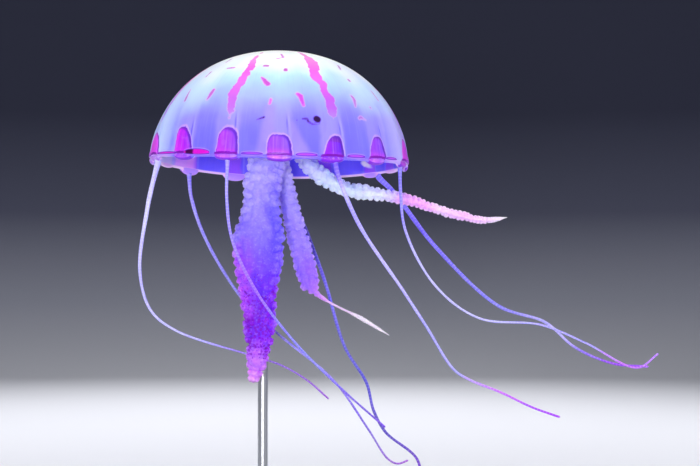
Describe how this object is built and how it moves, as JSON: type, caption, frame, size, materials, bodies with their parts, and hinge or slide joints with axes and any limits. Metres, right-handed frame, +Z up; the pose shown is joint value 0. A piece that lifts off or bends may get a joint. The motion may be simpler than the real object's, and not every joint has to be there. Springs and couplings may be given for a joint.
{
  "type": "jellyfish",
  "caption": "Young purple-striped jellyfish, still and life size: high domed bell, lappeted rim, frilly oral arms and long trailing tentacles, held on a disc and rod stand.",
  "frame": {"origin": "centre of the stand base's underside, on the floor", "axes": "+Z up along the bell's axis, -Y towards the viewer (the front), +X the way the current carries the arms and tentacles"},
  "size_m": [0.2633, 0.144, 0.237],
  "materials": {
    "bell_flesh": "clear jelly, glossy and wet: milky white with a cyan tint at the crown, violet blue down the wall, magenta stripes and flecks",
    "margin_flesh": "thin wet jelly, lilac, with magenta patches above the lappets",
    "arm_flesh": "soft frilled tissue, satin: lavender at the mouth, violet and magenta lower down, pale pink tips",
    "tentacle_flesh": "smooth wet thread, lavender white with magenta ends",
    "stand_paint": "fine satin powder coat, charcoal",
    "stand_steel": "brushed along its length"
  },
  "bodies": {
    "root": {"bell_crown": "bell_flesh", "bell_wall": "bell_flesh", "bell_margin_1": "margin_flesh", "bell_margin_2": "margin_flesh", "bell_margin_3": "margin_flesh", "bell_margin_4": "margin_flesh", "bell_margin_5": "margin_flesh", "bell_margin_6": "margin_flesh", "bell_margin_7": "margin_flesh", "bell_margin_8": "margin_flesh", "manubrium": "arm_flesh", "oral_arm_front_upper": "arm_flesh", "oral_arm_front_middle": "arm_flesh", "oral_arm_front_lower": "arm_flesh", "oral_arm_right_upper": "arm_flesh", "oral_arm_right_middle": "arm_flesh", "oral_arm_right_lower": "arm_flesh", "oral_arm_back_upper": "arm_flesh", "oral_arm_back_middle": "arm_flesh", "oral_arm_back_lower": "arm_flesh", "oral_arm_left_upper": "arm_flesh", "oral_arm_left_middle": "arm_flesh", "oral_arm_left_lower": "arm_flesh", "tentacle_1_root": "tentacle_flesh", "tentacle_1_middle": "tentacle_flesh", "tentacle_1_tip": "tentacle_flesh", "tentacle_2_root": "tentacle_flesh", "tentacle_2_middle": "tentacle_flesh", "tentacle_2_tip": "tentacle_flesh", "tentacle_3_root": "tentacle_flesh", "tentacle_3_middle": "tentacle_flesh", "tentacle_3_tip": "tentacle_flesh", "tentacle_4_root": "tentacle_flesh", "tentacle_4_middle": "tentacle_flesh", "tentacle_4_tip": "tentacle_flesh", "tentacle_5_root": "tentacle_flesh", "tentacle_5_middle": "tentacle_flesh", "tentacle_5_tip": "tentacle_flesh", "tentacle_6_root": "tentacle_flesh", "tentacle_6_middle": "tentacle_flesh", "tentacle_6_tip": "tentacle_flesh", "tentacle_7_root": "tentacle_flesh", "tentacle_7_middle": "tentacle_flesh", "tentacle_7_tip": "tentacle_flesh", "tentacle_8_root": "tentacle_flesh", "tentacle_8_middle": "tentacle_flesh", "tentacle_8_tip": "tentacle_flesh", "stand_base": "stand_paint", "stand_rod": "stand_steel"}
  },
  "joints": []
}
